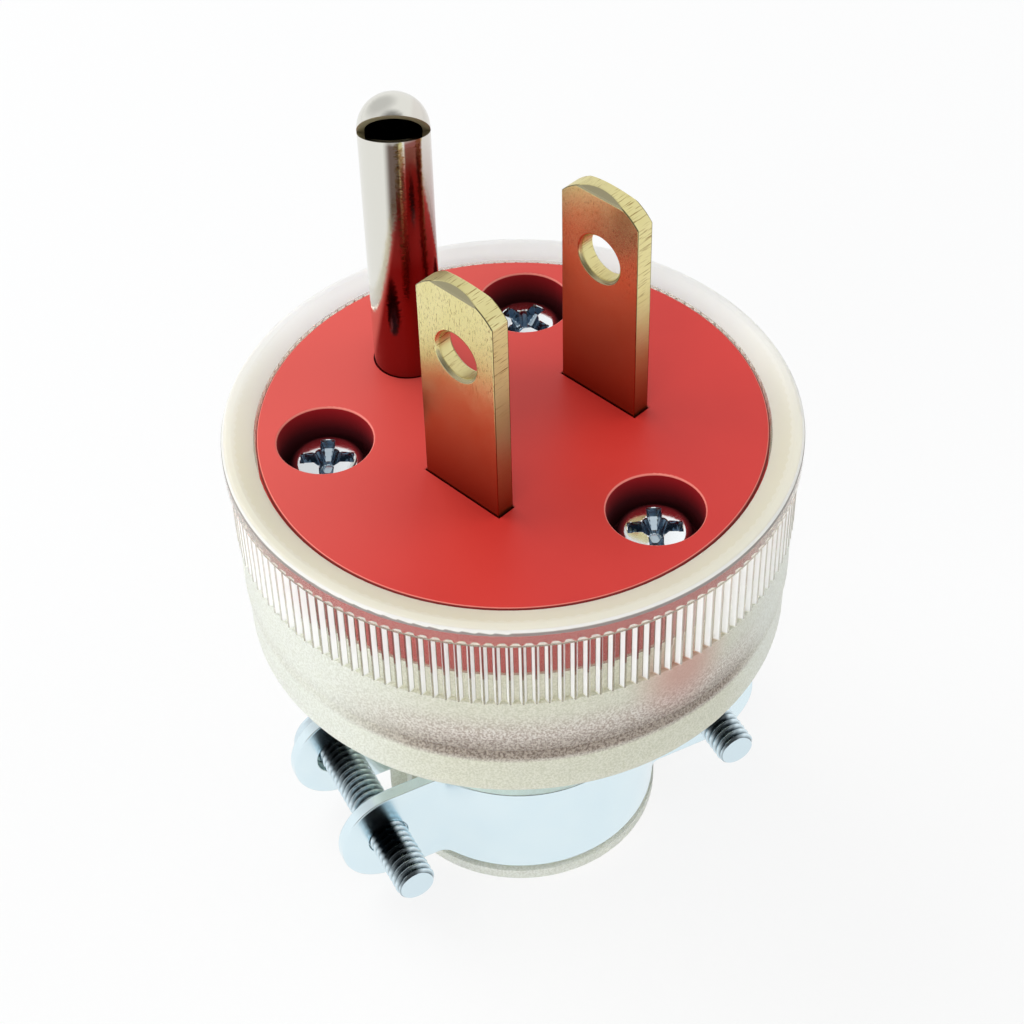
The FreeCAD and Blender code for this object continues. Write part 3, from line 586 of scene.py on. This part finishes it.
tree.links.new(brass_surface.outputs[0], out.inputs["Surface"])
for side in ("left", "right"):
    node = "blade_" + side
    stand_in(softened(node + "_form", whole_form(node), BLADE_ROUND, brass), node)


# Ground pin: a tube rolled and drawn from nickel plated brass, its end spun into a dome that is cut open
# towards the front. Drawing left fine marks round it, which break up the bright plating's reflections. Its
# lower part is painted dark red, a painted reflection of the red face, and a dark brown band with a red
# stripe beside it is painted down from the mouth, painted reflections of the dark side towards the lens and
# of the red face.

DRAW_MARKS = 0.06 * MM
PIN_AXIS = (0.0, 9.7 * MM, 0.0)
RED_REFLECTION_SLANT = 0.16
RED_REFLECTION_LEFT = -2.4 * MM
RED_REFLECTION_TOP, RED_REFLECTION_FULL = 19.0 * MM, 9.0 * MM
MOUTH_LOW = 20.05 * MM
REFLECTION_LOW, REFLECTION_FULL = 9.0 * MM, 14.5 * MM
DARK_REFLECTION_LEFT, DARK_REFLECTION_RIGHT = -0.75 * MM, 0.025 * MM
RED_STRIPE_LEFT, RED_STRIPE_RIGHT = 0.375 * MM, 1.375 * MM
nickel, tree, out = new_material("drawn_nickel_plate")
place = add_node(tree, "TexCoord").outputs["Object"]
drawn = add_node(tree, "Mapping", {"Vector": place, "Scale": (0.2, 0.2, 1.0)})
marks = add_node(tree, "TexNoise",
                 {"Vector": drawn, "Scale": 1 / DRAW_MARKS, "Detail": 3.0, "Roughness": 0.6})
skin = add_node(tree, "NewGeometry").outputs["Normal"]
round_way = add_node(tree, "VectorMath", {0: (0.0, 0.0, 1.0), 1: skin}, operation="CROSS_PRODUCT")
lean = add_node(tree, "MapRange",
                {"Value": marks, "From Min": 0.3, "From Max": 0.7, "To Min": -0.075, "To Max": 0.075})
leaning = add_node(tree, "VectorMath", {0: round_way, "Scale": lean}, operation="SCALE")
brushed = add_node(tree, "VectorMath", {0: skin, 1: leaning}, operation="ADD")
brushed_normal = add_node(tree, "VectorMath", {0: brushed}, operation="NORMALIZE")
nickel_haze = add_node(tree, "MapRange", {"Value": marks, "To Min": 0.05, "To Max": 0.15})
height = add_node(tree, "SeparateXYZ", {0: place}).outputs["Z"]
off_pin = add_node(tree, "VectorMath", {0: place, 1: PIN_AXIS}, operation="SUBTRACT")
sideways = add_node(tree, "VectorMath", {0: off_pin, 1: FRONT_WAY}, operation="DOT_PRODUCT")
# Low on the pin, past a slanted line, it is painted dark red: a painted reflection of the red face.
slanted = add_node(tree, "Math", {0: height, 1: -RED_REFLECTION_SLANT, 2: sideways}, operation="MULTIPLY_ADD")
past_slant = add_node(tree, "MapRange",
                      {"Value": slanted, "From Min": RED_REFLECTION_LEFT - 0.2 * MM,
                       "From Max": RED_REFLECTION_LEFT + 0.2 * MM}, interpolation_type="SMOOTHSTEP")
pin_low = add_node(tree, "MapRange",
                   {"Value": height, "From Min": RED_REFLECTION_TOP, "From Max": RED_REFLECTION_FULL, "To Min": 0.1})
red_reflection = add_node(tree, "Math", {0: past_slant, 1: pin_low}, operation="MULTIPLY")
red_reflection_shade = add_node(tree, "Mix", {0: red_reflection, 6: srgb("#DFDED6"), 7: srgb("#8C3F3E")}, data_type="RGBA")
# Below the dome, on the side towards the lens, a dark brown band and a red stripe beside it: painted
# reflections of the dark side towards the lens and of the red face.
dark_reflection_left = add_node(tree, "MapRange",
                      {"Value": sideways, "From Min": DARK_REFLECTION_LEFT - 0.25 * MM,
                       "From Max": DARK_REFLECTION_LEFT + 0.25 * MM}, interpolation_type="SMOOTHSTEP")
dark_reflection_right = add_node(tree, "MapRange",
                       {"Value": sideways, "From Min": DARK_REFLECTION_RIGHT + 0.075 * MM,
                        "From Max": DARK_REFLECTION_RIGHT - 0.075 * MM}, interpolation_type="SMOOTHSTEP")
reflection_high = add_node(tree, "MapRange",
                      {"Value": height, "From Min": REFLECTION_LOW, "From Max": REFLECTION_FULL, "To Max": 0.9},
                      interpolation_type="SMOOTHSTEP")
under_dome = add_node(tree, "MapRange",
                      {"Value": height, "From Min": MOUTH_LOW + 0.15 * MM, "From Max": MOUTH_LOW - 0.15 * MM})
skin_rise = add_node(tree, "SeparateXYZ", {0: skin}).outputs["Z"]
upright = add_node(tree, "MapRange", {"Value": skin_rise, "From Min": 0.25, "From Max": 0.1})
below_dome = add_node(tree, "Math", {0: under_dome, 1: upright}, operation="MULTIPLY")
reflection_band = add_node(tree, "Math", {0: reflection_high, 1: below_dome}, operation="MULTIPLY")
dark_reflection_across = add_node(tree, "Math", {0: dark_reflection_left, 1: dark_reflection_right}, operation="MULTIPLY")
dark_reflection = add_node(tree, "Math", {0: reflection_band, 1: dark_reflection_across}, operation="MULTIPLY")
dark_reflection_shade = add_node(tree, "Mix", {0: dark_reflection, 6: red_reflection_shade, 7: srgb("#4A2E20")}, data_type="RGBA")
red_stripe_left = add_node(tree, "MapRange",
                     {"Value": sideways, "From Min": RED_STRIPE_LEFT - 0.075 * MM,
                      "From Max": RED_STRIPE_LEFT + 0.075 * MM}, interpolation_type="SMOOTHSTEP")
red_stripe_right = add_node(tree, "MapRange",
                      {"Value": sideways, "From Min": RED_STRIPE_RIGHT + 0.075 * MM,
                       "From Max": RED_STRIPE_RIGHT - 0.075 * MM}, interpolation_type="SMOOTHSTEP")
red_stripe_across = add_node(tree, "Math", {0: red_stripe_left, 1: red_stripe_right}, operation="MULTIPLY")
red_stripe = add_node(tree, "Math", {0: reflection_band, 1: red_stripe_across}, operation="MULTIPLY")
red_stripe_shade = add_node(tree, "Mix", {0: red_stripe, 6: dark_reflection_shade, 7: srgb("#7A2A20")}, data_type="RGBA")
facing_down = add_node(tree, "MapRange", {"Value": skin_rise, "From Min": -0.15, "From Max": -0.25})
pin_shade = add_node(tree, "Mix", {0: facing_down, 6: red_stripe_shade, 7: srgb("#C9BF9F")}, data_type="RGBA")
cut_haze = add_node(tree, "Mix", {0: facing_down, 2: nickel_haze, 3: 0.6})
nickel_surface = add_node(tree, "BsdfPrincipled",
                          {"Base Color": pin_shade, "Roughness": cut_haze, "Normal": brushed_normal,
                           "Metallic": 1.0})
tree.links.new(nickel_surface.outputs[0], out.inputs["Surface"])
finish_node("ground_pin", nickel)


# Assembly screws: three pan heads of bright plated steel that pull the insert down onto the posts of the
# shell. The tumbled plating is mirror bright with a slight ripple. The cross recess is punched, and its wings
# run up towards the rim; its sloping walls and deeper floor are painted darker, as painted shade.


def ring_grid(name, rings, material):
    """Closed tube from an array of rings, each a row of points, with a point at the middle of each end."""
    count, around = rings.shape[:2]
    index = np.arange(count * around).reshape(count, around)
    nxt = np.roll(index, -1, axis=1)
    quads = np.stack([index[:-1], nxt[:-1], nxt[1:], index[1:]], axis=-1).reshape(-1, 4)
    first, last = count * around, count * around + 1
    start_fan = np.stack([nxt[0], index[0], np.full(around, first)], axis=-1)
    end_fan = np.stack([index[-1], nxt[-1], np.full(around, last)], axis=-1)
    points = np.vstack([rings.reshape(-1, 3), rings[0].mean(axis=0), rings[-1].mean(axis=0)])
    faces = quads.tolist() + start_fan.tolist() + end_fan.tolist()
    piece = mesh_piece(name, points, faces, material)
    shade_smooth(piece.data, 40.0)
    return piece


HEAD_R = 2.5 * MM
HEAD_TOP = -1.5 * MM
HEAD_SEAT_Z = -3.4 * MM
HEAD_ROUND = 0.6 * MM
HEAD_CROWN = 0.25 * MM
WING_REACH = 1.75 * MM
WING_HALF = 0.46 * MM
WING_RISE = 0.55 * MM
RECESS_DEEP = 1.15 * MM
WALL_SLOPE = 3.4
PIT_R = 0.95 * MM
PIT_SLOPE = 0.7 * WALL_SLOPE
HEAD_GRID = 97
FLAT_SHARE = 0.84
SHANK_R = 1.25 * MM
SHANK_TIP = -16.4 * MM
SHANK_CHAMFER = 0.5 * MM
SCREW_RING = 12.25 * MM
HEAD_PLACES = (("left", 141.0, 45.0), ("right", 40.0, 8.0), ("front", 271.0, 45.0))


def wing_depth(along, over):
    """Depth of a pair of wings: the least of the floor, which rises with the distance out, and of the side
    and end walls, which fall by a fixed slope."""
    floor = RECESS_DEEP - (RECESS_DEEP - WING_RISE) * np.abs(along) / WING_REACH
    side_wall = WALL_SLOPE * (WING_HALF - np.abs(over))
    end_wall = WALL_SLOPE * (WING_REACH - np.abs(along))
    return np.minimum(np.minimum(floor, side_wall), end_wall)


def cross_recess_head(name, x, y, turn, material):
    """Pan head as a grid over a disc. A square grid is bent to the disc, and its outer part is carried down
    the rounded edge. Of the two pairs of wings and the cone in the middle, the deepest counts."""
    side = np.linspace(-1, 1, HEAD_GRID)
    u, v = np.meshgrid(side, side, indexing="ij")
    a, b = u * np.sqrt(1 - v * v / 2), v * np.sqrt(1 - u * u / 2)
    part = np.hypot(a, b)
    flat_r = HEAD_R - HEAD_ROUND
    swing = np.clip((part - FLAT_SHARE) / (1 - FLAT_SHARE), 0, 1) * np.pi / 2
    r = np.where(part < FLAT_SHARE, part / FLAT_SHARE * flat_r, flat_r + HEAD_ROUND * np.sin(swing))
    rounding = np.where(part < FLAT_SHARE, 0, HEAD_ROUND * (1 - np.cos(swing)))
    fall = HEAD_CROWN * (r / HEAD_R) ** 2 + rounding
    scale = r / np.maximum(part, 1e-9)
    a, b = a * scale, b * scale
    pit = np.minimum(RECESS_DEEP, PIT_SLOPE * (PIT_R - r))
    sunk = np.maximum(np.maximum(wing_depth(a, b), wing_depth(b, a)), np.maximum(pit, 0))
    top = HEAD_TOP - fall - sunk
    c, k = math.cos(turn), math.sin(turn)
    grid = np.stack([x + a * c - b * k, y + a * k + b * c, top], axis=-1)
    count = len(side)
    index = np.arange(count * count).reshape(count, count)
    quads = np.stack([index[:-1, :-1], index[1:, :-1], index[1:, 1:], index[:-1, 1:]], axis=-1)
    quads = quads.reshape(-1, 4)
    border = np.concatenate([index[:-1, 0], index[-1, :-1], index[:0:-1, -1], index[0, :0:-1]])
    points = grid.reshape(-1, 3)
    foot = points[border].copy()
    foot[:, 2] = HEAD_SEAT_Z
    lower = np.arange(len(border)) + len(points)
    skirt = np.stack([border, lower, np.roll(lower, -1), np.roll(border, -1)], axis=-1)
    faces = quads.tolist() + skirt.tolist() + [lower[::-1].tolist()]
    piece = mesh_piece(name, np.vstack([points, foot]), faces, material)
    shade_smooth(piece.data, 32.0)
    return piece


def plain_shank(name, x, y, material):
    """Rings of the shank, from the seat down to its chamfered tip."""
    heights = np.array([HEAD_SEAT_Z, SHANK_TIP + SHANK_CHAMFER, SHANK_TIP])
    radii = np.array([SHANK_R, SHANK_R, SHANK_R - SHANK_CHAMFER])
    way = np.linspace(0, 2 * np.pi, 32, endpoint=False)
    rings = np.stack([x + radii[:, None] * np.cos(way), y - radii[:, None] * np.sin(way),
                      np.repeat(heights[:, None], 32, axis=1)], axis=-1)
    return ring_grid(name, rings, material)


PLATE_MARKS = 0.3 * MM
bright, tree, out = new_material("bright_plated_steel")
place = add_node(tree, "TexCoord").outputs["Object"]
axes = add_node(tree, "SeparateXYZ", {0: place})
tumbled = add_node(tree, "TexNoise", {"Vector": place, "Scale": 1 / PLATE_MARKS, "Detail": 3.0})
bright_haze = add_node(tree, "MapRange", {"Value": tumbled, "To Min": 0.06, "To Max": 0.18})
tumble_bump = add_node(tree, "Bump", {"Height": tumbled, "Strength": 0.12, "Distance": 0.03 * MM})
skin = add_node(tree, "SeparateXYZ", {0: add_node(tree, "NewGeometry").outputs["Normal"]})
# The recess's sloping walls and its deeper floor are painted darker: painted shade.
shaded_walls = add_node(tree, "MapRange",
                   {"Value": skin.outputs["Z"], "From Min": 0.8, "From Max": 0.45, "To Max": 0.85})
sunk_in = add_node(tree, "MapRange",
                   {"Value": axes.outputs["Z"], "From Min": HEAD_TOP - 0.3 * MM,
                    "From Max": HEAD_TOP - 0.8 * MM})
recess_depth_shade = add_node(tree, "Mix", {0: sunk_in, 6: srgb("#F6FAFC"), 7: srgb("#B9C9D4")}, data_type="RGBA")
bright_shade = add_node(tree, "Mix", {0: shaded_walls, 6: recess_depth_shade, 7: srgb("#8093A4")}, data_type="RGBA")
bright_surface = add_node(tree, "BsdfPrincipled",
                          {"Base Color": bright_shade, "Roughness": bright_haze, "Normal": tumble_bump,
                           "Metallic": 1.0})
tree.links.new(bright_surface.outputs[0], out.inputs["Surface"])
for side, bearing, turn in HEAD_PLACES:
    x = SCREW_RING * math.cos(math.radians(bearing))
    y = SCREW_RING * math.sin(math.radians(bearing))
    head = cross_recess_head("assembly_head_" + side, x, y, math.radians(turn), bright)
    shank = plain_shank("assembly_shank_" + side, x, y, bright)
    for piece in (head, shank):
        stand_in(piece, "assembly_screw_" + side)


# Cord clamp: two half straps bent from steel strip round the neck, zinc plated and blue passivated.
# They are smooth and pale blue, with slow clouds in their gloss, and their cut edges are tumbled round.

STRAP_ROUND = 0.12 * MM
ZINC_CLOUD = 3.0 * MM
zinc, tree, out = new_material("blue_zinc_plate")
place = add_node(tree, "TexCoord").outputs["Object"]
cloud = add_node(tree, "TexNoise", {"Vector": place, "Scale": 1 / ZINC_CLOUD, "Detail": 4.0})
zinc_shade = add_node(tree, "Mix", {0: cloud, 6: srgb("#DDF0F8"), 7: srgb("#E8F7FC")}, data_type="RGBA")
zinc_haze = add_node(tree, "MapRange", {"Value": cloud, "To Min": 0.16, "To Max": 0.26})
zinc_surface = add_node(tree, "BsdfPrincipled",
                        {"Base Color": zinc_shade, "Roughness": zinc_haze, "Metallic": 1.0})
tree.links.new(zinc_surface.outputs[0], out.inputs["Surface"])
for side in ("front", "rear"):
    node = "strap_" + side
    stand_in(softened(node + "_form", whole_form(node), STRAP_ROUND, zinc), node)


# Clamp screws: zinc plated, with slotted round heads behind the rear ears and a fine rolled thread that is
# tapped into the front ears. The thread's roots are painted dark as painted shade, its crests keep the pale
# zinc, and the upper side of the shanks is painted near black as painted shade from the shell above.

CLAMP_TURN = math.radians(-19.1)
SCREW_U = 13.05 * MM
SCREW_R = 1.45 * MM
HEAD_SEAT = 4.8 * MM
TIP = -9.6 * MM
ACROSS = np.array([math.cos(CLAMP_TURN), math.sin(CLAMP_TURN), 0.0])
ALONG = np.array([-math.sin(CLAMP_TURN), math.cos(CLAMP_TURN), 0.0])
UPRIGHT = np.array([0.0, 0.0, 1.0])
clamp_low, clamp_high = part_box("strap_front")
SCREW_Z = (clamp_low[2] + clamp_high[2]) / 2
THREAD_PITCH = 0.53 * MM
THREAD_DEPTH = 0.27 * MM
THREAD_FLANK, THREAD_FLAT = 2.6, 0.2
TIP_CONE = 0.2 * MM
EAR_FACE = -3.3 * MM
SHADE_WAY = (-0.40, 0.91, 0.0)
SCUFF_CLOUD = 0.25 * MM
SCREW_HEAD_ROUND = 0.06 * MM


def threaded_shank(u):
    """Rings of the screw's shank. The radius falls from the crest to the root and back once a pitch, turned
    on by one pitch a turn, and never passes the cone at the tip. Crest and root have short flats."""
    along = np.concatenate([np.arange(TIP, HEAD_SEAT, THREAD_PITCH / 10), [HEAD_SEAT + 0.3 * MM]])
    turn = np.linspace(0, 2 * np.pi, 40, endpoint=False)
    s, a = np.meshgrid(along, turn, indexing="ij")
    phase = np.mod(s / THREAD_PITCH + a / (2 * np.pi), 1.0)
    profile = np.clip(np.abs(phase - 0.5) * THREAD_FLANK - THREAD_FLAT, 0.0, 1.0)
    radius = SCREW_R - THREAD_DEPTH * profile
    radius = np.minimum(radius, SCREW_R - TIP_CONE + (s - TIP))
    middle = ACROSS * u + UPRIGHT * SCREW_Z
    return (middle + s[..., None] * ALONG + (radius * np.cos(a))[..., None] * ACROSS
            + (radius * np.sin(a))[..., None] * UPRIGHT)


screw_zinc, tree, out = new_material("zinc_plated_thread")
place = add_node(tree, "TexCoord").outputs["Object"]
over = add_node(tree, "VectorMath", {0: place, 1: tuple(ACROSS)}, operation="DOT_PRODUCT")
over_side = add_node(tree, "Math", {0: over}, operation="ABSOLUTE")
side_sign = add_node(tree, "Math", {0: over}, operation="SIGN")
off_axis = add_node(tree, "Math", {0: over_side, 1: SCREW_U}, operation="SUBTRACT")
signed = add_node(tree, "Math", {0: off_axis, 1: side_sign}, operation="MULTIPLY")
level = add_node(tree, "SeparateXYZ", {0: place})
off_height = add_node(tree, "Math", {0: level.outputs["Z"], 1: SCREW_Z}, operation="SUBTRACT")
off_both = add_node(tree, "CombineXYZ", {"X": signed, "Y": off_height})
from_axis = add_node(tree, "VectorMath", {0: off_both}, operation="LENGTH")
way_out = add_node(tree, "VectorMath", {0: off_both}, operation="NORMALIZE")
facing = add_node(tree, "VectorMath", {0: way_out, 1: SHADE_WAY}, operation="DOT_PRODUCT")
# The upper side of the shanks is painted near black: painted shade from the shell above.
top = add_node(tree, "MapRange", {"Value": facing, "From Min": 0.62, "From Max": 0.86},
               interpolation_type="SMOOTHSTEP")
along = add_node(tree, "VectorMath", {0: place, 1: tuple(ALONG)}, operation="DOT_PRODUCT")
off_tip = add_node(tree, "MapRange",
                   {"Value": along, "From Min": TIP + 0.6 * MM, "From Max": TIP + 3.0 * MM, "To Min": 0.55},
                   interpolation_type="SMOOTHSTEP")
between = add_node(tree, "MapRange",
                   {"Value": along, "From Min": EAR_FACE - 0.1 * MM, "From Max": EAR_FACE + 0.1 * MM,
                    "To Min": 1.0, "To Max": 0.45}, interpolation_type="SMOOTHSTEP")
rear = add_node(tree, "MapRange", {"Value": along, "From Min": 0.0, "From Max": 2.5 * MM, "To Max": 0.5},
                interpolation_type="SMOOTHSTEP")
shade_run = add_node(tree, "Math", {0: off_tip, 1: between}, operation="MULTIPLY")
more = add_node(tree, "Math", {0: shade_run, 1: rear}, operation="ADD", use_clamp=True)
on_shank = add_node(tree, "MapRange",
                    {"Value": along, "From Min": HEAD_SEAT, "From Max": HEAD_SEAT - 0.1 * MM})
shaded_top = add_node(tree, "Math", {0: top, 1: more}, operation="MULTIPLY")
share = add_node(tree, "Math", {0: shaded_top, 1: on_shank}, operation="MULTIPLY")
# The thread's roots are painted dark and its crests keep the pale zinc: painted shade in the grooves.
crest = add_node(tree, "MapRange",
                 {"Value": from_axis, "From Min": SCREW_R - THREAD_DEPTH, "From Max": SCREW_R - 0.06 * MM})
at_tip = add_node(tree, "MapRange",
                  {"Value": along, "From Min": TIP + 0.03 * MM, "From Max": TIP + 0.01 * MM})
pale = add_node(tree, "Math", {0: crest, 1: at_tip}, operation="MAXIMUM")
thread_shade = add_node(tree, "Mix", {0: pale, 6: srgb("#4A5A62"), 7: srgb("#D9EAF2")}, data_type="RGBA")
not_tip = add_node(tree, "Math", {0: share, 1: at_tip}, operation="SUBTRACT", use_clamp=True)
shaded_thread = add_node(tree, "Mix", {0: not_tip, 6: thread_shade, 7: srgb("#0A1014")}, data_type="RGBA")
scuff = add_node(tree, "TexNoise", {"Vector": place, "Scale": 1 / SCUFF_CLOUD, "Detail": 3.0})
scuff_haze = add_node(tree, "MapRange", {"Value": scuff, "To Min": 0.12, "To Max": 0.3})
screw_surface = add_node(tree, "BsdfPrincipled",
                         {"Base Color": shaded_thread, "Roughness": scuff_haze, "Metallic": 1.0})
tree.links.new(screw_surface.outputs[0], out.inputs["Surface"])


def screw_head(node, material):
    """The head of a clamp screw: the CAD node's mesh beyond the ear, with its corners rounded."""
    form = whole_form(node)
    shank = [v for v in form.verts if v.co.dot(Vector(ALONG)) < HEAD_SEAT - 0.01 * MM]
    bmesh.ops.delete(form, geom=shank, context="VERTS")
    return softened(node + "_head", form, SCREW_HEAD_ROUND, material)


for side, u in (("left", -SCREW_U), ("right", SCREW_U)):
    node = "clamp_screw_" + side
    stand_in(ring_grid("clamp_thread_" + side, threaded_shank(u), screw_zinc), node)
    stand_in(screw_head(node, screw_zinc), node)


# Inside: an ivory barrier moulding, a brass plate for the ground pin, and three wire screws with
# square pressure plates. They show only as soft shapes through the frosted wall. The barrier is faintly
# grained, and the ground's screw is dyed green over its plating.

MOULD_GRAIN = 0.4 * MM
DYE_CLOUD = 0.8 * MM
ivory, tree, out = new_material("ivory_moulding")
place = add_node(tree, "TexCoord").outputs["Object"]
ivory_grain = add_node(tree, "TexNoise", {"Vector": place, "Scale": 1 / MOULD_GRAIN, "Detail": 2.0})
ivory_bump = add_node(tree, "Bump", {"Height": ivory_grain, "Strength": 0.1, "Distance": 0.02 * MM})
ivory_surface = add_node(tree, "BsdfPrincipled",
                         {"Normal": ivory_bump, "Base Color": srgb("#EFEADB"), "Roughness": 0.5,
                          "IOR": 1.5})
tree.links.new(ivory_surface.outputs[0], out.inputs["Surface"])
finish_node("contact_barrier", ivory)

green, tree, out = new_material("green_dyed_plate")
place = add_node(tree, "TexCoord").outputs["Object"]
dye = add_node(tree, "TexNoise", {"Vector": place, "Scale": 1 / DYE_CLOUD, "Detail": 3.0})
dye_shade = add_node(tree, "Mix", {0: dye, 6: srgb("#2C7A46"), 7: srgb("#3C9058")}, data_type="RGBA")
green_surface = add_node(tree, "BsdfPrincipled",
                         {"Base Color": dye_shade, "Metallic": 1.0, "Roughness": 0.3})
tree.links.new(green_surface.outputs[0], out.inputs["Surface"])

finish_node("ground_terminal", brass)
finish_node("terminal_screw_left", brass)
finish_node("terminal_screw_right", bright)
finish_node("terminal_screw_ground", green)
for where in ("left", "right", "ground"):
    finish_node("saddle_" + where, zinc)
